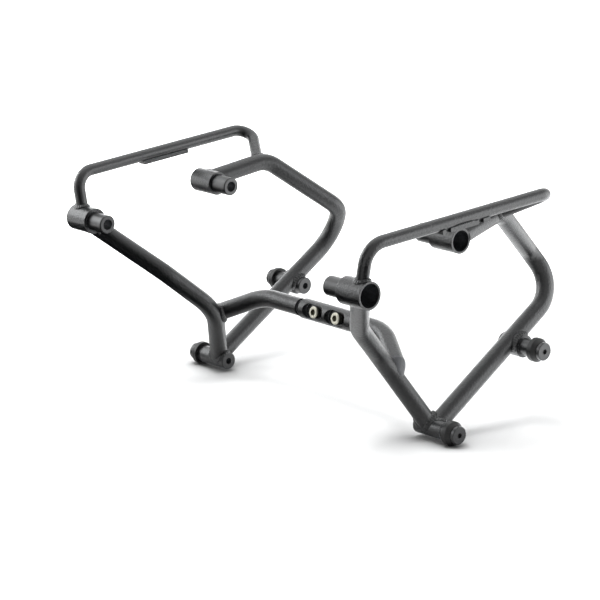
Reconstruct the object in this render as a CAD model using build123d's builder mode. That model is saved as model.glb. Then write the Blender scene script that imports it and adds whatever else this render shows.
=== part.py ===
from build123d import *
from math import cos, radians, sin, tan
import os

# Pannier frame for a motorbike: two mirrored side frames of bent tube, joined by a bolted crossbar.
# Millimetres. X runs to the right, Y to the front, Z up, and X = 0 is the middle of the motorbike.
# Places are (out, forward, rise), counted from the rear corner of the right-hand frame, where the
# hoop's centre line meets the axis of the rear peg.

# Main sizes of the frame
frame_spacing = 330.0
rear_boss_back = 118.9
rear_boss_rise = 171.7
boss_spacing = 138.3
front_boss_lift = 12.6
nose_forward = 161.5
rail_lift = 44.7

# Tube stock
tube_od = 18.0
tube_wall = 2.0
rail_od = 12.0
rail_wall = 1.5

# Bend radii of the tubes' centre lines
hoop_top_bend = 26.5
hoop_nose_bend = 20.0
hoop_knee_bend = 37.0
strut_bend = 45.0
crossbar_bend = 50.0
rail_rear_bend = 19.0
rail_front_bend = 14.0
bend_room = 0.98

# Bend points of the main hoop: top from the front boss, nose below the top, knee below and ahead of the nose
hoop_arm_out = 21.0
top_out = 8.0
top_run = 72.7
top_lift = 8.2
nose_out = -23.4
nose_drop = 62.8
knee_out = -0.5
knee_ahead = 10.5
knee_drop = 35.3

# Bend points of the rear strut
strut_head_out = 45.0
strut_upper = (-17.2, -69.9, 113.4)
strut_lower = (-37.9, -25.8, 66.1)
strut_foot_out = -4.0

# Boss sleeves, which take the bolt heads, and their bushes, which face the motorbike
rear_sleeve_inset = 19.0
front_sleeve_inset = 22.0
rear_sleeve_od = 26.0
front_sleeve_od = 24.0
sleeve_wall = 2.0
sleeve_length = 31.0
bush_recess = 1.5
bush_flange = 6.0
spigot_od = 18.5
spigot_reach = 22.0
spigot_chamfer = 0.8
bolt_hole = 10.5

# Pegs that carry the pannier: one at the rear corner, one under the hoop's lower run
front_peg_along = 124.86
front_peg_drop = 8.1
rear_peg_inset = 20.0
front_peg_inset = 16.3
front_peg_tail = 12.3
peg_od = 18.0
peg_length = 42.0
peg_chamfer = 0.8
peg_neck_od = 17.0
peg_neck_length = 5.0
barrel_od = 22.0
barrel_length = 16.0
thread_od = 8.0
thread_clearance = 0.1
peg_tap_od = 6.8
peg_tap_depth = 16.0
ring_od = 23.5
ring_face_od = 17.8
ring_width = 9.2
ring_land = 5.0
ring_clearance = 0.2
shoulder_od = 12.0
peg_thread_length = 12.0
peg_head_od = 17.5
peg_head_height = 4.2
peg_head_chamfer = 0.6
peg_hex = 5.0
peg_hex_depth = 2.6

# Upper rail and the strip under it
rail_foot_along = 18.6
rail_rear_out = 54.3
rail_rear_ahead = 3.2
rail_front_out = 61.8
rail_length = 234.3
rail_front_foot = 64.6
strip_length = 58.0
strip_width = 10.0
strip_drop = 2.6
strip_seat = 1.5
strip_start = 83.7
notch_length = 5.5
notch_depth = 4.0
rear_notch = 7.0
front_notch = 11.25

# Crossbar and its lapped splice
crossbar_joint = 171.0
crossbar_offset = (2.1, 9.6, -0.1)
crossbar_end_cap = 3.5
crossbar_end_chamfer = 3.0
crossbar_corner = (-74.7, 10.7, 78.4)
left_tube_end = -32.0
right_tube_end = 52.0
splice_od = 20.5
splice_tilt = 15.0
splice_gap = 5.0
splice_shoulder = 4.0
splice_chamfer = 0.8
plug_depth = 14.0
plug_clearance = 0.1
pocket_floor = 4.5
pocket_width = 15.0
pocket_length = 29.5
pocket_xs = (-4.7, 28.6)
slot_width = 9.0
screw_xs = (-4.0, 28.5)
screw_head_od = 12.0
screw_head_height = 5.0
screw_head_chamfer = 0.8
screw_hex = 6.0
screw_hex_depth = 3.5
screw_end_gap = 1.0

# Sizes and places that follow
tube_id = tube_od - 2 * tube_wall
rear_boss = (-rear_boss_back, rear_boss_rise)
front_boss = (boss_spacing - rear_boss_back, rear_boss_rise + front_boss_lift)
hoop_top = (top_out, front_boss[0] + top_run, front_boss[1] + top_lift)
hoop_nose = (nose_out, nose_forward, hoop_top[2] - nose_drop)
hoop_knee = (knee_out, nose_forward + knee_ahead, hoop_nose[2] - knee_drop)
rear_sleeve_out = strut_head_out - rear_sleeve_inset
front_sleeve_out = hoop_arm_out - front_sleeve_inset
rail_rear = (rail_rear_out, rail_rear_ahead - rear_boss_back, rear_boss_rise + rail_lift)
rail_front = (rail_front_out, rail_rear[1] + rail_length, rail_rear[2])
rear_peg = (0.0, 0.0)
lower_run = Vector(*hoop_knee[1:]).normalized()
front_peg = (
    lower_run.X * front_peg_along + lower_run.Y * front_peg_drop,
    lower_run.Y * front_peg_along - lower_run.X * front_peg_drop,
)


def at(out, forward, rise):
    """Place counted from the rear corner of the right-hand frame."""
    return Vector(frame_spacing / 2 + out, forward, rise)


def bent_line(points, radii):
    """Centre line of a tube: straight runs joined by bends, drawn tighter where a run is too short for them."""
    runs = [end - start for start, end in zip(points, points[1:])]
    turns = [radians(before.get_angle(after)) for before, after in zip(runs, runs[1:])]
    setbacks = [0, *[radius * tan(turn / 2) for radius, turn in zip(radii, turns)], 0]
    rooms = [run.length / (start + end) for run, start, end in zip(runs, setbacks, setbacks[1:])]
    ease = min(1, bend_room * min(rooms))
    with BuildLine() as line:
        FilletPolyline(*points, radius=[radius * ease for radius in radii])
    return line.wire()


def bar(line, diameter):
    """Solid round bar along a centre line, used to cope the tubes that end on it."""
    with BuildPart() as solid:
        with BuildSketch(Plane(origin=line @ 0, z_dir=line % 0)):
            Circle(diameter / 2)
        sweep(path=line)
    return solid.part


def turned(origin, outline):
    """Solid turned about a lateral axis. The outline's points are (distance outward, radius)."""
    with BuildPart() as solid:
        with BuildSketch(Plane(origin=origin, x_dir=(1, 0, 0), z_dir=(0, -1, 0))):
            with BuildLine():
                Polyline((outline[0][0], 0), *outline, (outline[-1][0], 0), close=True)
            make_face()
        revolve(axis=Axis(origin, (1, 0, 0)))
    return solid.part


def lateral(origin):
    """Plane that faces outward at a place on a boss or a peg."""
    return Plane(origin=origin, x_dir=(0, 1, 0), z_dir=(1, 0, 0))


def across(x):
    """Plane across the crossbar, with its Y axis along the splice screws."""
    tilt = radians(splice_tilt)
    return Plane(origin=(x, *crossbar_corner[1:]), x_dir=(0, sin(tilt), cos(tilt)), z_dir=(1, 0, 0))


def save(part, name):
    """Write a labelled piece, moved to where the frame stands."""
    placed = part.moved(frame_place)
    placed.label = name
    export_step(placed, f"parts/{name}.step")


def save_left(part, name):
    """Write the mirror image of a right-hand piece."""
    with BuildPart() as left:
        mirror(part, about=Plane.YZ)
    save(left.part, name)


def save_pair(part, name):
    """Write the right-hand piece and its mirror image for the left-hand frame."""
    save(part, f"{name}_right")
    save_left(part, f"{name}_left")


os.makedirs("parts", exist_ok=True)

# Centre lines of the right-hand frame
hoop_line = bent_line(
    [at(hoop_arm_out, *front_boss), at(*hoop_top), at(*hoop_nose), at(*hoop_knee), at(0, *rear_peg)],
    [hoop_top_bend, hoop_nose_bend, hoop_knee_bend],
)
strut_line = bent_line(
    [at(strut_head_out, *rear_boss), at(*strut_upper), at(*strut_lower), at(strut_foot_out, *rear_peg)],
    [strut_bend, strut_bend],
)
rail_line = bent_line(
    [
        at(rear_sleeve_out + rail_foot_along, *rear_boss),
        at(*rail_rear),
        at(*rail_front),
        hoop_line.position_at(rail_front_foot, position_mode=PositionMode.LENGTH),
    ],
    [rail_rear_bend, rail_front_bend],
)
crossbar_foot = strut_line.position_at(crossbar_joint, position_mode=PositionMode.LENGTH)
crossbar_end = crossbar_foot + Vector(*crossbar_offset)
hoop_bar = bar(hoop_line, tube_od)
strut_bar = bar(strut_line, tube_od)
rail_bar = bar(rail_line, rail_od)

# The rear pegs' rings touch Z = 0, and Y = 0 is the middle of the length
front_reach = hoop_bar.bounding_box().max.Y
back_reach = -rear_boss_back - rear_sleeve_od / 2
frame_place = Location((0, -(front_reach + back_reach) / 2, ring_od / 2))

# Boss sleeves and bushes
boss_bodies = {}
for name, boss, sleeve_out, sleeve_od in (
    ("rear_boss", rear_boss, rear_sleeve_out, rear_sleeve_od),
    ("front_boss", front_boss, front_sleeve_out, front_sleeve_od),
):
    inner_end = at(sleeve_out, *boss)
    with BuildPart() as sleeve:
        with BuildSketch(lateral(inner_end)):
            Circle(sleeve_od / 2)
            Circle(sleeve_od / 2 - sleeve_wall, mode=Mode.SUBTRACT)
        extrude(amount=sleeve_length)
    save_pair(sleeve.part, f"{name}_sleeve")

    with BuildPart() as bush:
        add(
            turned(
                inner_end,
                [
                    (-spigot_reach, spigot_od / 2 - spigot_chamfer),
                    (-spigot_reach + spigot_chamfer, spigot_od / 2),
                    (bush_recess, spigot_od / 2),
                    (bush_recess, sleeve_od / 2 - sleeve_wall),
                    (bush_recess + bush_flange, sleeve_od / 2 - sleeve_wall),
                ],
            )
        )
        with Locations(lateral(inner_end)):
            Hole(bolt_hole / 2)
    save_pair(bush.part, f"{name}_bush")

    boss_bodies[name] = turned(
        inner_end,
        [(-spigot_reach, spigot_od / 2), (0, spigot_od / 2), (0, sleeve_od / 2), (sleeve_length, sleeve_od / 2)],
    )

# Peg bushes, rubber rings and shoulder bolts
peg_bodies = {}
neck_start = peg_length - peg_neck_length
pin_outline = [
    (0, peg_od / 2 - peg_chamfer),
    (peg_chamfer, peg_od / 2),
    (neck_start, peg_od / 2),
    (neck_start, peg_neck_od / 2),
    (peg_length, peg_neck_od / 2),
]
barrel_end = front_peg_tail + barrel_length
barrel_outline = [
    (0, peg_od / 2 - peg_chamfer),
    (peg_chamfer, peg_od / 2),
    (front_peg_tail, peg_od / 2),
    (front_peg_tail, barrel_od / 2),
    (barrel_end, barrel_od / 2),
    (barrel_end, peg_neck_od / 2),
    (peg_length, peg_neck_od / 2),
]
for name, peg, inset, outline in (
    ("rear_peg", rear_peg, rear_peg_inset, pin_outline),
    ("front_peg", front_peg, front_peg_inset, barrel_outline),
):
    inner_end = at(-inset, *peg)
    outer_end = at(peg_length - inset, *peg)
    peg_bodies[name] = turned(inner_end, outline)
    with BuildPart() as bush:
        add(peg_bodies[name])
        with BuildSketch(lateral(inner_end)):
            Circle(peg_tap_od / 2)
        extrude(amount=peg_tap_depth, mode=Mode.SUBTRACT)
        with BuildSketch(lateral(outer_end)):
            Circle(thread_od / 2 + thread_clearance)
        extrude(amount=-peg_thread_length, mode=Mode.SUBTRACT)
    save_pair(bush.part, f"{name}_bush")

    with BuildPart() as ring:
        add(
            turned(
                outer_end,
                [(0, ring_od / 2), (ring_land, ring_od / 2), (ring_width, ring_face_od / 2)],
            )
        )
        with Locations(lateral(outer_end)):
            Hole(shoulder_od / 2 + ring_clearance)
    save_pair(ring.part, f"{name}_ring")

    with BuildPart() as bolt:
        add(
            turned(
                outer_end,
                [
                    (-peg_thread_length + thread_clearance, thread_od / 2),
                    (0, thread_od / 2),
                    (0, shoulder_od / 2),
                    (ring_width, shoulder_od / 2),
                    (ring_width, peg_head_od / 2 - peg_head_chamfer),
                    (ring_width + peg_head_chamfer, peg_head_od / 2),
                    (ring_width + peg_head_height - peg_head_chamfer, peg_head_od / 2),
                    (ring_width + peg_head_height, peg_head_od / 2 - peg_head_chamfer),
                ],
            )
        )
        with BuildSketch(lateral(outer_end).offset(ring_width + peg_head_height)):
            RegularPolygon(peg_hex / 2, 6, major_radius=False)
        extrude(amount=-peg_hex_depth, mode=Mode.SUBTRACT)
    save_pair(bolt.part, f"{name}_bolt")

# Main hoop, coped onto the front boss and seated round both pegs
with BuildPart() as hoop:
    with BuildSketch(Plane(origin=hoop_line @ 0, z_dir=hoop_line % 0)):
        Circle(tube_od / 2)
        Circle(tube_id / 2, mode=Mode.SUBTRACT)
    sweep(path=hoop_line)
    add(boss_bodies["front_boss"], mode=Mode.SUBTRACT)
    add(peg_bodies["front_peg"], mode=Mode.SUBTRACT)
    add(peg_bodies["rear_peg"], mode=Mode.SUBTRACT)
save_pair(hoop.part, "main_hoop")

# Rear strut, coped onto the rear boss, the rear peg and the hoop
with BuildPart() as strut:
    with BuildSketch(Plane(origin=strut_line @ 0, z_dir=strut_line % 0)):
        Circle(tube_od / 2)
        Circle(tube_id / 2, mode=Mode.SUBTRACT)
    sweep(path=strut_line)
    add(boss_bodies["rear_boss"], mode=Mode.SUBTRACT)
    add(peg_bodies["rear_peg"], mode=Mode.SUBTRACT)
    add(hoop_bar, mode=Mode.SUBTRACT)
save_pair(strut.part, "rear_strut")

# Upper rail, coped onto the rear boss and the hoop
with BuildPart() as rail:
    with BuildSketch(Plane(origin=rail_line @ 0, z_dir=rail_line % 0)):
        Circle(rail_od / 2)
        Circle(rail_od / 2 - rail_wall, mode=Mode.SUBTRACT)
    sweep(path=rail_line)
    add(boss_bodies["rear_boss"], mode=Mode.SUBTRACT)
    add(hoop_bar, mode=Mode.SUBTRACT)
save_pair(rail.part, "upper_rail")

# Strip welded under the rail, notched on its outer side near both ends
rail_run = (at(*rail_front) - at(*rail_rear)).normalized()
strip_plane = Plane(origin=at(*rail_rear) + rail_run * strip_start, x_dir=rail_run, z_dir=(0, 0, 1))
with BuildPart() as strip:
    with BuildSketch(strip_plane.offset(-rail_od / 2 - strip_drop)):
        Rectangle(strip_length, strip_width, align=(Align.MIN, Align.CENTER))
        for notch_middle in (rear_notch, strip_length - front_notch):
            with Locations((notch_middle, -strip_width / 2)):
                Rectangle(notch_length, notch_depth, align=(Align.CENTER, Align.MIN), mode=Mode.SUBTRACT)
    extrude(amount=strip_drop + strip_seat)
    add(rail_bar, mode=Mode.SUBTRACT)
save_pair(strip.part, "rail_strip")

# Crossbar halves, notched round the struts' front side and closed at that end
corner = at(*crossbar_corner)
bore_end = crossbar_end + (corner - crossbar_end).normalized() * crossbar_end_cap
for tube_end, save_half, name in (
    (right_tube_end, save, "crossbar_right"),
    (-left_tube_end, save_left, "crossbar_left"),
):
    splice_end = Vector(tube_end, *crossbar_corner[1:])
    with BuildPart() as crossbar:
        add(bar(bent_line([crossbar_end, corner, splice_end], [crossbar_bend]), tube_od))
        chamfer(edges().filter_by(GeomType.CIRCLE).sort_by_distance(crossbar_end)[0], crossbar_end_chamfer)
        add(bar(bent_line([bore_end, corner, splice_end], [crossbar_bend]), tube_id), mode=Mode.SUBTRACT)
        add(strut_bar, mode=Mode.SUBTRACT)
    save_half(crossbar.part, name)

# Splice: two half-round laps, the front one slotted for adjustment and the rear one tapped
screw_plane = Plane(origin=across(0).origin, x_dir=(1, 0, 0), z_dir=across(0).y_dir)
plug_r = tube_id / 2 - plug_clearance
lap_start = left_tube_end + splice_gap
lap_end = right_tube_end - splice_shoulder
with BuildPart() as front_lap:
    with BuildSketch(across(lap_start)):
        Circle(splice_od / 2)
        Rectangle(splice_od, splice_od, align=(Align.CENTER, Align.MIN), mode=Mode.INTERSECT)
    extrude(amount=lap_end - lap_start)
    lap_rim = faces().sort_by(Axis.X)[0].edges().filter_by(GeomType.CIRCLE)
    chamfer(lap_rim, splice_chamfer)
    with BuildSketch(across(lap_end)):
        Circle(splice_od / 2)
    extrude(amount=splice_shoulder)
    with BuildSketch(across(right_tube_end)):
        Circle(plug_r)
    extrude(amount=plug_depth)
    with BuildSketch(screw_plane.offset(pocket_floor)):
        with Locations(*[(x, 0) for x in pocket_xs]):
            SlotOverall(pocket_length, pocket_width)
    extrude(amount=splice_od / 2, mode=Mode.SUBTRACT)
    with BuildSketch(screw_plane):
        with Locations(*[(x, 0) for x in pocket_xs]):
            SlotOverall(pocket_length - pocket_width + slot_width, slot_width)
    extrude(amount=pocket_floor, mode=Mode.SUBTRACT)
save(front_lap.part, "splice_lap_front")

with BuildPart() as rear_lap:
    with BuildSketch(across(left_tube_end - plug_depth)):
        Circle(plug_r)
    extrude(amount=plug_depth)
    with BuildSketch(across(left_tube_end)):
        Circle(tube_od / 2)
        Rectangle(tube_od, tube_od, align=(Align.CENTER, Align.MAX), mode=Mode.INTERSECT)
    extrude(amount=splice_gap)
    with BuildSketch(across(lap_start)):
        Circle(splice_od / 2)
        Rectangle(splice_od, splice_od, align=(Align.CENTER, Align.MAX), mode=Mode.INTERSECT)
    extrude(amount=lap_end - splice_gap - lap_start)
    with BuildSketch(screw_plane):
        with Locations(*[(x, 0) for x in screw_xs]):
            Circle(thread_od / 2 + thread_clearance)
    extrude(amount=-splice_od / 2, mode=Mode.SUBTRACT)
save(rear_lap.part, "splice_lap_rear")

# Low-head cap screws, seated on the pocket floors
for number, x in enumerate(screw_xs, start=1):
    head_seat = screw_plane.offset(pocket_floor)
    seat = Plane(head_seat.from_local_coords((x, 0, 0)), x_dir=(1, 0, 0), z_dir=screw_plane.z_dir)
    with BuildPart() as screw:
        with BuildSketch(seat):
            Circle(screw_head_od / 2)
        extrude(amount=screw_head_height)
        chamfer(edges().group_by(Axis(seat.origin, seat.z_dir))[-1], screw_head_chamfer)
        with BuildSketch(seat.offset(screw_head_height)):
            RegularPolygon(screw_hex / 2, 6, major_radius=False)
        extrude(amount=-screw_hex_depth, mode=Mode.SUBTRACT)
        with BuildSketch(seat):
            Circle(thread_od / 2)
        extrude(amount=-(pocket_floor + splice_od / 2 - screw_end_gap))
    save(screw.part, f"splice_screw_{number}")
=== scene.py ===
from math import cos, pi, sin

import bmesh
import bpy
from bpy.props import FloatProperty, FloatVectorProperty, PointerProperty
from bpy.types import Operator, Panel, PropertyGroup
from mathutils import Matrix, Vector
from mathutils.bvhtree import BVHTree


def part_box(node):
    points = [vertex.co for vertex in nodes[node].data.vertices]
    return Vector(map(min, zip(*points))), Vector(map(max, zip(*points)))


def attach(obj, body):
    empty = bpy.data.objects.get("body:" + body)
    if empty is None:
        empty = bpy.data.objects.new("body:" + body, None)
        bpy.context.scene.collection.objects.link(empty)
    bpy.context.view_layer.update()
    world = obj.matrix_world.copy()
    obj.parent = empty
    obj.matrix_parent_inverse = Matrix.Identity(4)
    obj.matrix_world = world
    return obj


bl_info = {
    "name": "Pannier frame",
    "version": (1, 0, 0),
    "blender": (4, 5, 0),
    "location": "View3D > Sidebar > Pannier frame",
    "description": "Dresses a tubular pannier frame: powder coat, weld beads, rubber rings and screws",
    "category": "Object",
}

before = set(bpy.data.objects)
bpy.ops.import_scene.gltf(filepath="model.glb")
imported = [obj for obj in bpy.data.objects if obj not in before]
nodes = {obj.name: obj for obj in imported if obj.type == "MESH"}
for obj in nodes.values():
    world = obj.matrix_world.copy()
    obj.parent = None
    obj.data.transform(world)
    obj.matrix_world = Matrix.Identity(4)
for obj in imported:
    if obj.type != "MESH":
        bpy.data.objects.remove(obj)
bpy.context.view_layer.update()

SIDES = (("right", 1.0), ("left", -1.0))
MM = 0.001

# Places on the right-hand frame, in millimetres of the part's own frame
STRUT_HEAD = (210.0, -140.29, 183.45)
STRUT_UPPER = (147.8, -91.29, 125.15)
STRUT_LOWER = (127.1, -47.19, 77.85)
STRUT_FOOT = (161.0, -21.39, 11.75)
HOOP_ARM = (186.0, -1.99, 196.05)
HOOP_TOP = (173.0, 70.71, 204.25)
HOOP_KNEE = (164.5, 150.61, 106.15)
HOOP_FOOT = (165.0, -21.39, 11.75)
RAIL_REAR_FOOT = (209.6, -140.29, 183.45)
RAIL_REAR = (219.3, -137.09, 228.15)
RAIL_FRONT = (226.8, 97.21, 228.15)
RAIL_FRONT_FOOT = (174.68, 61.22, 203.11)
CROSSBAR_END = (133.87, -36.15, 71.74)
CROSSBAR_CORNER = (90.3, -10.69, 90.15)
FRONT_PEG = (165.0, 91.97, 64.72)

# Radii of what is welded, and of the rings that the frame stands on, in millimetres
TUBE_R = 9.0
RAIL_R = 6.0
BARREL_R = 11.0
TAIL_R = 9.0
RING_R = 11.75

# Weld seams: name, foot, a place up the tube, tube radius, pieces it lands on, leg of the bead
SEAMS = (
    ("weld_rail_rear", RAIL_REAR_FOOT, RAIL_REAR, RAIL_R, ("rear_boss_sleeve",), 2.6),
    ("weld_rail_front", RAIL_FRONT_FOOT, RAIL_FRONT, RAIL_R, ("main_hoop",), 2.6),
    ("weld_strut_head", STRUT_HEAD, STRUT_UPPER, TUBE_R, ("rear_boss_sleeve",), 2.6),
    ("weld_hoop_arm", HOOP_ARM, HOOP_TOP, TUBE_R, ("front_boss_sleeve",), 2.8),
    ("weld_crossbar", CROSSBAR_END, CROSSBAR_CORNER, TUBE_R, ("rear_strut",), 3.4),
    ("weld_hoop_foot", HOOP_FOOT, HOOP_KNEE, TUBE_R, ("rear_peg_bush",), 3.2),
    ("weld_strut_foot", STRUT_FOOT, STRUT_LOWER, TUBE_R, ("rear_peg_bush", "main_hoop"), 3.2),
)

# A seam is looked for just inside a tube's own wall, or just outside a piece that its carrier is cut for
INSIDE = 0.985
OUTSIDE = 1.02

# Search for a seam: rays round it, how far up they start in millimetres, and the fewest that must land
SEAM_STEPS = 240
SEAM_REACH = 40.0
SEAM_LEAST = 60

# Section of a bead: its corners, the share of its leg that sinks in, and how its open ends thin out
BEAD_CORNERS = 9
BEAD_SINK = 0.35
BEAD_FLAT = 0.05
BEAD_LEAN = 0.9
BEAD_THIN = 0.25
BEAD_GROW = 4

# Leg of the beads round the front pegs
PEG_LEG = 3.2

# Toe of weld at a crossbar's end: runs and sink in millimetres, the rest as shares, ripples and mesh counts
TOE_BACK = 3.0
TOE_BAR = 6.0
TOE_TURN = 0.35
TOE_STRUT = 12.0
TOE_SINK = 7.0
TOE_TAPER = 0.40
TOE_RIPPLE = 0.16
TOE_RIPPLES = 5
TOE_LUMPS = 5
TOE_TWIST = 9
TOE_RINGS = 26
TOE_AROUND = 48

# Bead on a strip: clear of its two ends, out from the rail's axis, its leg, its lean and its steps
STITCH_START = 13.5
STITCH_END = 17.8
STITCH_OUT = 4.2
STITCH_LEG = 1.7
STITCH_LEAN = (0.6, 0.8)
STITCH_STEPS = 160

# Finishes: colour, edge colour (thin coat and painted rim highlight), roughness, grain, share of edge round,
# gain of painted hollow shading (above one it paints light into hollows, below one it paints shade there),
# bump, shader values
FINISHES = {
    "Powder coat": ("coat", "thin_coat_and_painted_sheen", 0.31, 900.0, 1.0, 22.0, 0.85, {"Specular IOR Level": 0.5}),
    # Weld coat: the pale edge colour all over, a painted sheen that lightens the toe, with light also painted
    # into its hollows.
    "Weld coat with painted sheen": ("thin_coat_and_painted_sheen", "thin_coat_and_painted_sheen", 0.55, 700.0, 1.0, 3.0, 1.0, {"Specular IOR Level": 0.6}),
    "Turned coat": ("coat", "thin_coat_and_painted_sheen", 0.36, 1500.0, 1.0, 22.0, 0.30, {"Specular IOR Level": 0.55}),
    "Ring rubber": ("rubber", "bolt", 0.48, 2600.0, 1.0, 0.6, 0.16, {"Specular IOR Level": 0.35}),
    "Black bolt": ("bolt", "thin_coat_and_painted_sheen", 0.34, 2200.0, 1.0, 0.6, 0.08, {"Specular IOR Level": 0.5}),
    "Zinc screw": ("zinc", "zinc", 0.30, 2400.0, 0.5, 0.12, 0.04, {"Metallic": 1.0}),
}

# Skin of the finishes: noise scales per metre, spread of clouds, reach and range of the ambient occlusion that
# drives the painted hollow shading, range of edges that take the pale edge colour with its painted rim
# highlight
PEEL_SCALE = 480.0
CLOUD_SCALE = 28.0
CLOUD_SPREAD = (0.82, 1.18)
PAINTED_HOLLOW_REACH = 0.03
PAINTED_HOLLOW_RANGE = (0.05, 0.35)
EDGE_RANGE = (0.02, 0.25)
BUMP_DEPTH = 0.00035
SKIN_SAMPLES = 6

# Camera of the photograph: place, right and up, in the part's frame, and its focal length on a 36 mm sensor
CAMERA_PLACE = (1.72622, -1.44788, 0.80500)
CAMERA_RIGHT = (0.64762, 0.75879, -0.06953)
CAMERA_UP = (-0.18363, 0.24398, 0.95224)
CAMERA_LENS = 142.76
CAMERA_SENSOR = 36.0

# Up as the photograph shows it: the frame leans back a little where it stands
STAND_UP = (0.0, 0.0912, 0.9958)

# Floor, in metres: half its width, and the distances between which its lift grows
FLOOR_HALF = 12.0
FLOOR_CLEAR = (0.22, 0.85)
FLOOR_SAMPLES = 12

# Lamps: name, sideways, height, toward the camera, width, length, watts, whether the coat mirrors it
LAMPS = (
    ("key_light", -1.20, 0.62, -0.62, 1.3, 0.8, 16.5, True),
    ("side_light", 1.30, 0.26, 0.10, 1.6, 1.0, 17.0, True),
    ("rear_light", 0.10, 0.45, -1.60, 1.8, 0.6, 10.0, True),
    ("top_light", 0.0, 1.9, -0.55, 2.4, 2.4, 25.0, True),
    ("floor_light", -0.35, 1.9, 0.10, 0.7, 0.7, 14.0, False),
    ("table_light", 0.70, 0.004, -0.05, 1.2, 1.1, 5.0, True),
)

# A lamp lower than this lies on the floor and faces up
LAMP_LYING = 0.1

# Black flags, in metres: from and to sideways, then from and to toward the camera; three lie, one stands
FLAGS_LYING = ((-0.64, -0.07, -0.06, 0.36), (-0.64, -0.17, -0.40, -0.06), (-0.07, 0.50, 0.29, 1.20))
FLAG_STANDING = (-0.64, -0.07, 0.36, 0.36)
FLAG_LIFT = 0.002
FLAG_HEIGHT = 0.50
FLAG_BLACK = 0.004


class CoatSettings(PropertyGroup):
    """Colours and grain of the finishes."""

    coat: FloatVectorProperty(
        name="Powder coat", description="Colour of the coated steel", subtype="COLOR",
        size=3, min=0.0, max=1.0, default=(0.0052, 0.0055, 0.0060),
    )
    # Pale edge colour: partly the coat thin over edges, partly a painted rim highlight; it is also the whole
    # colour of the weld toe, as a painted sheen.
    thin_coat_and_painted_sheen: FloatVectorProperty(
        name="Thin coat and painted rim highlight", description="Colour where the coat is thin over an edge", subtype="COLOR",
        size=3, min=0.0, max=1.0, default=(0.050, 0.052, 0.056),
    )
    rubber: FloatVectorProperty(
        name="Rubber", description="Colour of the rings on the pegs", subtype="COLOR",
        size=3, min=0.0, max=1.0, default=(0.006, 0.006, 0.006),
    )
    bolt: FloatVectorProperty(
        name="Peg bolts", description="Colour of the blackened bolts", subtype="COLOR",
        size=3, min=0.0, max=1.0, default=(0.013, 0.013, 0.014),
    )
    zinc: FloatVectorProperty(
        name="Splice screws", description="Colour of the plated screws", subtype="COLOR",
        size=3, min=0.0, max=1.0, default=(0.40, 0.39, 0.33),
    )
    edge_round: FloatProperty(
        name="Edge round", description="Radius that the finish rounds sharp edges to", unit="LENGTH",
        min=0.0, max=0.003, default=0.0006,
    )


class WeldSettings(PropertyGroup):
    """Sizes of the weld beads."""

    pitch: FloatProperty(
        name="Ripple pitch", description="Distance from one ripple of a bead to the next", unit="LENGTH",
        min=0.0005, max=0.01, default=0.0022,
    )
    depth: FloatProperty(
        name="Ripple depth", description="Depth of the ripples, as a share of the bead's leg",
        subtype="FACTOR", min=0.0, max=0.5, default=0.22,
    )


class StageSettings(PropertyGroup):
    """Floor and light."""

    floor: FloatVectorProperty(
        name="Floor", description="Colour of the floor", subtype="COLOR",
        size=3, min=0.0, max=1.0, default=(0.955, 0.945, 0.935),
    )
    lift: FloatProperty(
        name="Floor lift", description="Brightness added to the floor near the object, where it is seen",
        min=0.0, max=1.0, default=0.02,
    )
    lift_far: FloatProperty(
        name="Far floor lift", description="Brightness added to the floor far off, where it is seen",
        min=0.0, max=1.0, default=0.90,
    )
    # Reach of the contact shadow painted into the floor's colour.
    painted_shadow_reach: FloatProperty(
        name="Painted contact shadow", description="How far over the floor the object still darkens it", unit="LENGTH",
        min=0.0, max=0.5, default=0.06,
    )
    ambient: FloatProperty(
        name="Ambient", description="Strength of the even light from all round",
        min=0.0, max=2.0, default=0.20,
    )
    light_colour: FloatVectorProperty(
        name="Light", description="Colour of the soft boxes", subtype="COLOR",
        size=3, min=0.0, max=1.0, default=(0.965, 0.985, 1.0),
    )


def feed(tree, socket, value):
    """Link an input to another node's output, or set it to a plain value."""
    if isinstance(value, bpy.types.NodeSocket):
        tree.links.new(value, socket)
    else:
        socket.default_value = value


def linked(tree, kind, **inputs):
    """New node whose named inputs are set to values or linked to sockets."""
    node = tree.nodes.new(kind)
    for key, value in inputs.items():
        feed(tree, node.inputs[key.replace("_", " ")], value)
    return node


def maths(tree, operation, first, second):
    """Math node with two inputs."""
    node = tree.nodes.new("ShaderNodeMath")
    node.operation = operation
    feed(tree, node.inputs[0], first)
    feed(tree, node.inputs[1], second)
    return node.outputs[0]


def mixed(tree, share, first, second):
    """Colour between two colours."""
    node = tree.nodes.new("ShaderNodeMix")
    node.data_type = "RGBA"
    for index, value in ((0, share), (6, first), (7, second)):
        feed(tree, node.inputs[index], value)
    return node.outputs[2]


def scaled(tree, colour, factor):
    """Colour times a factor."""
    node = tree.nodes.new("ShaderNodeVectorMath")
    node.operation = "SCALE"
    feed(tree, node.inputs[0], colour)
    feed(tree, node.inputs["Scale"], factor)
    return node.outputs[0]


def ranged(tree, value, span, low=0.0, high=1.0):
    """Map Range node from a span to another."""
    return linked(
        tree, "ShaderNodeMapRange", Value=value, From_Min=span[0], From_Max=span[1], To_Min=low, To_Max=high
    )


def seen_rays(tree):
    """One for rays from the camera, a mirror or glass, and nought for the others."""
    path = tree.nodes.new("ShaderNodeLightPath")
    seen = maths(tree, "ADD", path.outputs["Is Camera Ray"], path.outputs["Is Glossy Ray"])
    return maths(tree, "ADD", seen, path.outputs["Is Transmission Ray"])


def open_group(name, inputs, outputs):
    """New shader node group with float or colour sockets; returns the tree and its two end nodes."""
    tree = bpy.data.node_groups.new(name, "ShaderNodeTree")
    for label, kind in inputs:
        tree.interface.new_socket(label, in_out="INPUT", socket_type=kind)
    for label, kind in outputs:
        tree.interface.new_socket(label, in_out="OUTPUT", socket_type=kind)
    return tree, tree.nodes.new("NodeGroupInput"), tree.nodes.new("NodeGroupOutput")


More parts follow.
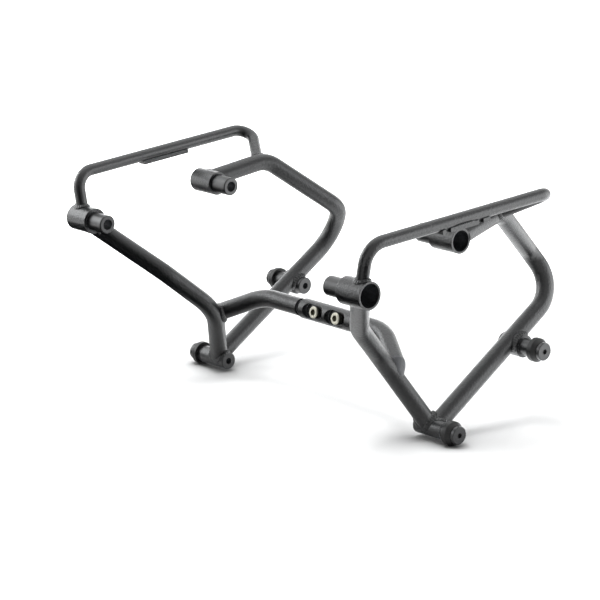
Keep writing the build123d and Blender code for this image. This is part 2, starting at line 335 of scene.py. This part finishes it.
def coat_grain_and_painted_shading_group():
    """Fine pebbled skin and slow cloudiness of a sprayed and baked finish, with the coat thin and paler at
    edges, which also paints a rim highlight, and the colour scaled in hollows by a gain that paints light
    there when above one and shade when below one.
    """
    tree, source, result = open_group(
        "Coat grain and painted shading",
        (
            ("Colour", "NodeSocketColor"),
            ("Edge colour", "NodeSocketColor"),
            ("Roughness", "NodeSocketFloat"),
            ("Grain scale", "NodeSocketFloat"),
            ("Edge round", "NodeSocketFloat"),
            ("Painted hollow shading", "NodeSocketFloat"),
        ),
        (("Colour", "NodeSocketColor"), ("Roughness", "NodeSocketFloat"), ("Height", "NodeSocketFloat")),
    )
    place = tree.nodes.new("ShaderNodeTexCoord").outputs["Object"]
    grain = linked(tree, "ShaderNodeTexNoise", Vector=place, Scale=source.outputs["Grain scale"],
                   Detail=2.0, Roughness=0.5)
    peel = linked(tree, "ShaderNodeTexNoise", Vector=place, Scale=PEEL_SCALE, Detail=1.0, Roughness=0.5)
    cloud = linked(tree, "ShaderNodeTexNoise", Vector=place, Scale=CLOUD_SCALE, Detail=3.0, Roughness=0.55)
    # Painted hollow shading: ambient occlusion scales the colour in hollows, painting light into the coats'
    # sleeve insides and joints (up to 22 times paler) and painting shade into the hollows of rubber, bolts and
    # screws.
    painted_hollow_shading = linked(tree, "ShaderNodeAmbientOcclusion", Distance=PAINTED_HOLLOW_REACH)
    painted_hollow_shading.samples = SKIN_SAMPLES
    painted_hollow_gain = ranged(tree, painted_hollow_shading.outputs["AO"], PAINTED_HOLLOW_RANGE, source.outputs["Painted hollow shading"])
    # Edge mask from the bevel normal: edges take the paler edge colour, partly a thin coat and partly a
    # painted rim highlight.
    rounded = linked(tree, "ShaderNodeBevel", Radius=source.outputs["Edge round"])
    rounded.samples = SKIN_SAMPLES
    facing = tree.nodes.new("ShaderNodeVectorMath")
    facing.operation = "DOT_PRODUCT"
    feed(tree, facing.inputs[0], rounded.outputs[0])
    feed(tree, facing.inputs[1], tree.nodes.new("ShaderNodeNewGeometry").outputs["Normal"])
    turned = maths(tree, "SUBTRACT", 1.0, facing.outputs["Value"])
    edge = ranged(tree, turned, EDGE_RANGE)
    tinted = mixed(tree, edge.outputs[0], source.outputs["Colour"], source.outputs["Edge colour"])
    clouded = ranged(tree, cloud.outputs[0], (0.0, 1.0), *CLOUD_SPREAD)
    shaded = scaled(tree, tinted, clouded.outputs[0])
    feed(tree, result.inputs["Colour"], scaled(tree, shaded, painted_hollow_gain.outputs[0]))
    rough = maths(tree, "MULTIPLY", source.outputs["Roughness"], clouded.outputs[0])
    feed(tree, result.inputs["Roughness"], rough)
    feed(tree, result.inputs["Height"], maths(tree, "ADD", grain.outputs[0], peel.outputs[0]))
    return tree


def finish(name):
    """One of the finishes of the frame, made when it is first asked for."""
    if name in bpy.data.materials:
        return bpy.data.materials[name]
    coats = bpy.context.scene.pannier_coats
    colour, edge_colour, roughness, grain_scale, round_share, painted_hollow_shading, bump, shader = FINISHES[name]
    edge_round = coats.edge_round * round_share
    material = bpy.data.materials.new(name)
    material.use_nodes = True
    tree = material.node_tree
    principled = tree.nodes["Principled BSDF"]
    skin = tree.nodes.new("ShaderNodeGroup")
    skin.node_tree = bpy.data.node_groups.get("Coat grain and painted shading") or coat_grain_and_painted_shading_group()
    for key, value in (
        ("Colour", (*getattr(coats, colour), 1.0)),
        ("Edge colour", (*getattr(coats, edge_colour), 1.0)),
        ("Roughness", roughness),
        ("Grain scale", grain_scale),
        ("Edge round", edge_round),
        ("Painted hollow shading", painted_hollow_shading),
    ):
        skin.inputs[key].default_value = value
    rounded = linked(tree, "ShaderNodeBevel", Radius=edge_round)
    rounded.samples = SKIN_SAMPLES
    raised = linked(tree, "ShaderNodeBump", Strength=bump, Distance=BUMP_DEPTH,
                    Height=skin.outputs["Height"], Normal=rounded.outputs[0])
    tree.links.new(skin.outputs["Colour"], principled.inputs["Base Color"])
    tree.links.new(skin.outputs["Roughness"], principled.inputs["Roughness"])
    tree.links.new(raised.outputs[0], principled.inputs["Normal"])
    for key, value in shader.items():
        principled.inputs[key].default_value = value
    return material


def coat_nodes(material, *names):
    """Give CAD pieces a finish."""
    for name in names:
        piece = nodes[name]
        piece.data.materials.clear()
        piece.data.materials.append(material)


def both(*names):
    """Names of the right-hand and left-hand pieces."""
    return [f"{name}_{side}" for name in names for side, _ in SIDES]


def carrier_tree(names):
    """Search tree over the faces of CAD pieces."""
    points = []
    faces = []
    for name in names:
        mesh = nodes[name].data
        first = len(points)
        points.extend(vertex.co.copy() for vertex in mesh.vertices)
        faces.extend([first + index for index in polygon.vertices] for polygon in mesh.polygons)
    return BVHTree.FromPolygons(points, faces)


def seam_points(tree, foot, away, radius):
    """Where a tube meets its carriers, for each ray down its wall: place, outward and the carrier's normal."""
    reach = SEAM_REACH * MM
    lateral = away.orthogonal().normalized()
    other = away.cross(lateral)
    found = []
    for step in range(SEAM_STEPS):
        turn = 2 * pi * step / SEAM_STEPS
        outward = lateral * cos(turn) + other * sin(turn)
        start = foot + away * reach + outward * radius
        place, normal, _, _ = tree.ray_cast(start, -away, reach + radius)
        if place is None:
            found.append(None)
            continue
        if normal.dot(away) < 0:
            normal = -normal
        found.append((place, outward, normal))
    return found


def seam_run(name, seam):
    """The places found along a seam, from the first one after a gap, and whether the seam is closed."""
    found = [one for one in seam if one is not None]
    if len(found) < SEAM_LEAST:
        raise RuntimeError(f"{name} finds no seam")
    if len(found) == len(seam):
        return found, True
    first = next(i for i, one in enumerate(seam) if one is not None and seam[i - 1] is None)
    return [one for one in seam[first:] + seam[:first] if one is not None], False


def bead_mesh(name, seam, away, leg, closed):
    """Rippled fillet bead along a seam."""
    welds = bpy.context.scene.pannier_welds
    steps = len(seam)
    lengths = [0.0]
    for (here, _, _), (there, _, _) in zip(seam, seam[1:]):
        lengths.append(lengths[-1] + (there - here).length)
    total = lengths[-1] + ((seam[0][0] - seam[-1][0]).length if closed else 0.0)
    ripples = max(1, round(total / welds.pitch))
    points = []
    for index, (place, outward, normal) in enumerate(seam):
        along = outward - normal * outward.dot(normal)
        along = along.normalized() if along.length > BEAD_FLAT else outward
        taper = 1.0
        if not closed:
            nearest_end = min(index, steps - 1 - index)
            taper = min(1.0, BEAD_GROW * nearest_end / steps + BEAD_THIN)
        points.append(place - (outward + normal) * leg * BEAD_SINK)
        for corner in range(BEAD_CORNERS):
            turn = 0.5 * pi * corner / (BEAD_CORNERS - 1)
            phase = pi * ripples * lengths[index] / total + BEAD_LEAN * sin(2 * turn)
            swell = leg * taper * (1 - welds.depth * (1 - abs(sin(phase))) * sin(2 * turn))
            point = place + (along * cos(turn) + away * sin(turn)) * swell
            if corner == 0:
                point -= normal * leg * BEAD_SINK * 0.5
            if corner == BEAD_CORNERS - 1:
                point -= outward * leg * BEAD_SINK * 0.5
            points.append(point)
    rows = BEAD_CORNERS + 1
    faces = []
    spans = steps if closed else steps - 1
    for row in range(spans):
        here = row * rows
        there = (row + 1) % steps * rows
        for column in range(rows):
            after = (column + 1) % rows
            faces.append((here + column, here + after, there + after, there + column))
    if not closed:
        faces.append(tuple(range(rows))[::-1])
        faces.append(tuple((steps - 1) * rows + column for column in range(rows)))
    mesh = bpy.data.meshes.new(name)
    mesh.from_pydata(points, [], faces)
    return mesh


def lay_bead(name, seam, away, leg, closed):
    """Bead on the right-hand frame and its mirror image on the left."""
    for side, sign in SIDES:
        mesh = bead_mesh(f"{name}_{side}", seam, away, leg, closed)
        for vertex in mesh.vertices:
            vertex.co.x *= sign
        ride_coated(mesh, "Powder coat")


def ride_coated(mesh, coat):
    """Turn a weld's faces outward, shade it smooth, coat it and let it ride the frame."""
    work = bmesh.new()
    work.from_mesh(mesh)
    bmesh.ops.recalc_face_normals(work, faces=work.faces)
    work.to_mesh(mesh)
    work.free()
    mesh.shade_smooth()
    mesh.materials.append(finish(coat))
    weld = bpy.data.objects.new(mesh.name, mesh)
    bpy.context.scene.collection.objects.link(weld)
    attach(weld, "root")


class PANNIER_OT_tubes(Operator):
    """Coat the bent tubes and the strips under the rails"""

    bl_idname = "pannier.tubes"
    bl_label = "Coat tubes"

    def execute(self, context):
        tubes = both("main_hoop", "rear_strut", "upper_rail", "rail_strip", "crossbar")
        coat_nodes(finish("Powder coat"), *tubes)
        return {"FINISHED"}


class PANNIER_OT_bosses(Operator):
    """Coat the boss sleeves and their turned bushes"""

    bl_idname = "pannier.bosses"
    bl_label = "Coat bosses"

    def execute(self, context):
        coat_nodes(finish("Powder coat"), *both("rear_boss_sleeve", "front_boss_sleeve"))
        coat_nodes(finish("Turned coat"), *both("rear_boss_bush", "front_boss_bush"))
        return {"FINISHED"}


class PANNIER_OT_pegs(Operator):
    """Finish the pegs with their rubber rings and bolts"""

    bl_idname = "pannier.pegs"
    bl_label = "Finish pegs"

    def execute(self, context):
        coat_nodes(finish("Turned coat"), *both("rear_peg_bush", "front_peg_bush"))
        coat_nodes(finish("Ring rubber"), *both("rear_peg_ring", "front_peg_ring"))
        coat_nodes(finish("Black bolt"), *both("rear_peg_bolt", "front_peg_bolt"))
        return {"FINISHED"}


class PANNIER_OT_splice(Operator):
    """Finish the crossbar's splice and its screws"""

    bl_idname = "pannier.splice"
    bl_label = "Finish splice"

    def execute(self, context):
        coat_nodes(finish("Powder coat"), "splice_lap_front", "splice_lap_rear")
        coat_nodes(finish("Zinc screw"), "splice_screw_1", "splice_screw_2")
        return {"FINISHED"}


class PANNIER_OT_welds(Operator):
    """Lay the weld beads where tubes end on tubes, sleeves and pegs"""

    bl_idname = "pannier.welds"
    bl_label = "Lay weld beads"

    def execute(self, context):
        for name, foot, upward, radius, carriers, leg in SEAMS:
            foot = Vector(foot) * MM
            away = (Vector(upward) * MM - foot).normalized()
            tree = carrier_tree([f"{carrier}_right" for carrier in carriers])
            seam = seam_points(tree, foot, away, radius * INSIDE * MM)
            found, closed = seam_run(name, seam)
            lay_bead(name, found, away, leg * MM, closed)
        self.run_out_crossbars()
        self.collar_pegs()
        self.stitch_strips()
        return {"FINISHED"}

    def run_out_crossbars(self):
        """Toe of weld that carries each crossbar's closed end down onto the strut."""
        end = Vector(CROSSBAR_END) * MM
        bar = (end - Vector(CROSSBAR_CORNER) * MM).normalized()
        lower = Vector(STRUT_LOWER) * MM
        strut = (Vector(STRUT_FOOT) * MM - lower).normalized()
        out = end - lower
        out = (out - strut * out.dot(strut)).normalized()
        points = []
        for ring in range(TOE_RINGS):
            share = ring / (TOE_RINGS - 1)
            past = max(0.0, (share - TOE_TURN) / (1 - TOE_TURN))
            past = past * past * (2 - past)
            axis = bar.lerp(strut, past).normalized()
            middle = end + bar * (TOE_BAR * share - TOE_BACK) * MM
            middle += (strut * TOE_STRUT - out * TOE_SINK) * past * MM
            size = TUBE_R * (1 - TOE_TAPER * past * past) if ring else TUBE_R * INSIDE
            ripple = TOE_RIPPLE * abs(sin(pi * share * TOE_RIPPLES)) if ring else 0.0
            lateral = (out - axis * out.dot(axis)).normalized()
            other = axis.cross(lateral)
            for step in range(TOE_AROUND):
                turn = 2 * pi * step / TOE_AROUND
                radius = size + ripple * (1 + 0.5 * sin(TOE_LUMPS * turn + TOE_TWIST * share))
                points.append(middle + (lateral * cos(turn) + other * sin(turn)) * radius * MM)
        faces = [tuple(range(TOE_AROUND))]
        for ring in range(TOE_RINGS - 1):
            here = ring * TOE_AROUND
            there = here + TOE_AROUND
            for step in range(TOE_AROUND):
                after = (step + 1) % TOE_AROUND
                faces.append((here + step, here + after, there + after, there + step))
        faces.append(tuple(range((TOE_RINGS - 1) * TOE_AROUND, TOE_RINGS * TOE_AROUND)))
        for side, sign in SIDES:
            mesh = bpy.data.meshes.new(f"weld_toe_{side}")
            mesh.from_pydata([(point.x * sign, point.y, point.z) for point in points], [], faces)
            # The toe's pale coat is a painted sheen.
            ride_coated(mesh, "Weld coat with painted sheen")

    def collar_pegs(self):
        """Beads round the front pegs where they go through the hoops."""
        peg = Vector(FRONT_PEG) * MM
        tree = carrier_tree(["main_hoop_right"])
        for name, radius, away in (
            ("weld_peg_outer", BARREL_R, Vector((1, 0, 0))),
            ("weld_peg_inner", TAIL_R, Vector((-1, 0, 0))),
        ):
            seam = seam_points(tree, peg, away, radius * OUTSIDE * MM)
            found, closed = seam_run(name, seam)
            lay_bead(name, found, away, PEG_LEG * MM, closed)

    def stitch_strips(self):
        """Bead along the outer edge of the strip under each rail, from notch to notch."""
        low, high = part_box("rail_strip_right")
        rear = Vector(RAIL_REAR) * MM
        along = (Vector(RAIL_FRONT) * MM - rear).normalized()
        up = Vector((0, 0, 1))
        outward = along.cross(up)
        away = (outward * STITCH_LEAN[0] + up * STITCH_LEAN[1]).normalized()
        start = low[1] + STITCH_START * MM
        run = high[1] - low[1] - (STITCH_START + STITCH_END) * MM
        seam = []
        for step in range(STITCH_STEPS):
            y = start + run * step / (STITCH_STEPS - 1)
            place = rear + along * ((y - rear.y) / along.y) + outward * STITCH_OUT * MM
            place.z = high[2]
            seam.append((place, outward, up))
        lay_bead("weld_strip", seam, away, STITCH_LEG * MM, False)


class PANNIER_OT_stage(Operator):
    """Set the floor, the light and the camera"""

    bl_idname = "pannier.stage"
    bl_label = "Set stage"

    def execute(self, context):
        scene = context.scene
        scene.view_settings.view_transform = "Standard"
        stage = scene.pannier_stage
        up = Vector(STAND_UP).normalized()
        ring = Vector(HOOP_FOOT) * MM
        ring.x = 0.0
        ground = ring - up * RING_R * MM
        self.lay_floor(scene, stage, ground, up)
        self.light_world(scene, stage)
        self.hang_lamps(scene, stage, up)
        self.hang_flags(scene, ground, up)
        self.set_camera(scene)
        return {"FINISHED"}

    def lay_floor(self, scene, stage, ground, up):
        """White floor that keeps the shadow, with a contact shadow also painted into its colour near the
        object.
        """
        half = FLOOR_HALF
        mesh = bpy.data.meshes.new("floor")
        corners = [(-half, -half, 0), (half, -half, 0), (half, half, 0), (-half, half, 0)]
        mesh.from_pydata(corners, [], [(0, 1, 2, 3)])
        floor = bpy.data.objects.new("floor", mesh)
        floor.matrix_world = Matrix.Translation(ground) @ up.to_track_quat("Z", "Y").to_matrix().to_4x4()
        scene.collection.objects.link(floor)
        material = bpy.data.materials.new("Floor white")
        material.use_nodes = True
        tree = material.node_tree
        principled = tree.nodes["Principled BSDF"]
        principled.inputs["Roughness"].default_value = 1.0
        principled.inputs["Specular IOR Level"].default_value = 0.0
        principled.inputs["Emission Color"].default_value = (1.0, 1.0, 1.0, 1.0)
        apart = tree.nodes.new("ShaderNodeVectorMath")
        apart.operation = "LENGTH"
        feed(tree, apart.inputs[0], tree.nodes.new("ShaderNodeTexCoord").outputs["Object"])
        clear = ranged(tree, apart.outputs["Value"], FLOOR_CLEAR, stage.lift, stage.lift_far)
        clear.interpolation_type = "SMOOTHSTEP"
        # Painted contact shadow: ambient occlusion darkens the floor's colour where the object stands close
        # over it.
        painted_contact_shadow = linked(tree, "ShaderNodeAmbientOcclusion", Color=(*stage.floor, 1.0), Distance=stage.painted_shadow_reach)
        painted_contact_shadow.samples = FLOOR_SAMPLES
        tree.links.new(painted_contact_shadow.outputs["Color"], principled.inputs["Base Color"])
        lift = maths(tree, "MULTIPLY", seen_rays(tree), clear.outputs[0])
        # The painted contact shadow also cuts the floor's lift.
        lift = maths(tree, "MULTIPLY", lift, painted_contact_shadow.outputs["AO"])
        tree.links.new(lift, principled.inputs["Emission Strength"])
        mesh.materials.append(material)

    def light_world(self, scene, stage):
        """Even light, and a white backdrop for what is seen or mirrored."""
        world = bpy.data.worlds.new("Studio")
        world.use_nodes = True
        tree = world.node_tree
        background = tree.nodes["Background"]
        background.inputs["Color"].default_value = (1.0, 1.0, 1.0, 1.0)
        strength = ranged(tree, seen_rays(tree), (0.0, 1.0), stage.ambient)
        tree.links.new(strength.outputs[0], background.inputs["Strength"])
        scene.world = world

    def hang_lamps(self, scene, stage, up):
        """Soft boxes all round, a lit table on the right, and a box for the floor that nothing mirrors."""
        right = Vector(CAMERA_RIGHT).normalized()
        toward = right.cross(up).normalized()
        for name, sideways, height, depth, width, length, power, mirrored in LAMPS:
            lamp = bpy.data.lights.new(name, "AREA")
            lamp.shape = "RECTANGLE"
            lamp.size = width
            lamp.size_y = length
            lamp.energy = power
            lamp.color = stage.light_colour
            light = bpy.data.objects.new(name, lamp)
            place = right * sideways + up * height + toward * depth
            light.location = place
            facing = up if height < LAMP_LYING else -place
            light.rotation_euler = facing.to_track_quat("-Z", "Y").to_euler()
            light.visible_camera = False
            light.visible_glossy = mirrored
            scene.collection.objects.link(light)

    def hang_flags(self, scene, ground, up):
        """Black cloth on the camera's side that only the gloss of the coat shows."""
        toward = Vector(CAMERA_RIGHT).cross(up).normalized()
        right = up.cross(toward)
        sheets = [(*sheet, FLAG_LIFT) for sheet in FLAGS_LYING]
        sheets.append((*FLAG_STANDING, FLAG_HEIGHT))
        points = []
        faces = []
        for left, edge, near, far, top in sheets:
            first = len(points)
            for sideways, depth, height in (
                (left, near, FLAG_LIFT), (edge, near, FLAG_LIFT), (edge, far, top), (left, far, top),
            ):
                points.append(ground + right * sideways + toward * depth + up * height)
            faces.append(tuple(range(first, first + 4)))
        mesh = bpy.data.meshes.new("black_flag")
        mesh.from_pydata(points, [], faces)
        material = bpy.data.materials.new("Flag cloth")
        material.use_nodes = True
        principled = material.node_tree.nodes["Principled BSDF"]
        principled.inputs["Base Color"].default_value = (FLAG_BLACK, FLAG_BLACK, FLAG_BLACK, 1.0)
        principled.inputs["Roughness"].default_value = 1.0
        principled.inputs["Specular IOR Level"].default_value = 0.0
        mesh.materials.append(material)
        flag = bpy.data.objects.new("black_flag", mesh)
        flag.visible_camera = False
        flag.visible_diffuse = False
        flag.visible_transmission = False
        flag.visible_shadow = False
        scene.collection.objects.link(flag)

    def set_camera(self, scene):
        """Camera where the photograph was taken from."""
        lens = bpy.data.cameras.new("photo_camera")
        lens.lens = CAMERA_LENS
        lens.sensor_width = CAMERA_SENSOR
        lens.sensor_fit = "HORIZONTAL"
        camera = bpy.data.objects.new("photo_camera", lens)
        right = Vector(CAMERA_RIGHT).normalized()
        upward = Vector(CAMERA_UP)
        upward = (upward - right * upward.dot(right)).normalized()
        back = right.cross(upward)
        turn = Matrix((right, upward, back)).transposed().to_4x4()
        camera.matrix_world = Matrix.Translation(Vector(CAMERA_PLACE)) @ turn
        scene.collection.objects.link(camera)
        scene.camera = camera


OPERATORS = (
    PANNIER_OT_tubes,
    PANNIER_OT_bosses,
    PANNIER_OT_pegs,
    PANNIER_OT_splice,
    PANNIER_OT_welds,
    PANNIER_OT_stage,
)


class PANNIER_PT_panel(Panel):
    """Steps that dress the pannier frame"""

    bl_idname = "PANNIER_PT_panel"
    bl_label = "Pannier frame"
    bl_space_type = "VIEW_3D"
    bl_region_type = "UI"
    bl_category = "Pannier frame"

    def draw(self, context):
        scene = context.scene
        for settings in (scene.pannier_coats, scene.pannier_welds, scene.pannier_stage):
            for key in settings.bl_rna.properties.keys():
                if key not in ("rna_type", "name"):
                    self.layout.prop(settings, key)
        for operator in OPERATORS:
            self.layout.operator(operator.bl_idname)


CLASSES = (CoatSettings, WeldSettings, StageSettings, *OPERATORS, PANNIER_PT_panel)


def register():
    """Add the classes and the settings."""
    for one in CLASSES:
        bpy.utils.register_class(one)
    bpy.types.Scene.pannier_coats = PointerProperty(type=CoatSettings)
    bpy.types.Scene.pannier_welds = PointerProperty(type=WeldSettings)
    bpy.types.Scene.pannier_stage = PointerProperty(type=StageSettings)


def unregister():
    """Take the settings and the classes away again."""
    del bpy.types.Scene.pannier_stage
    del bpy.types.Scene.pannier_welds
    del bpy.types.Scene.pannier_coats
    for one in reversed(CLASSES):
        bpy.utils.unregister_class(one)


def main():
    """Dress the frame."""
    register()
    bpy.ops.pannier.tubes()
    bpy.ops.pannier.bosses()
    bpy.ops.pannier.pegs()
    bpy.ops.pannier.splice()
    bpy.ops.pannier.welds()
    bpy.ops.pannier.stage()


if __name__ == "__main__":
    main()
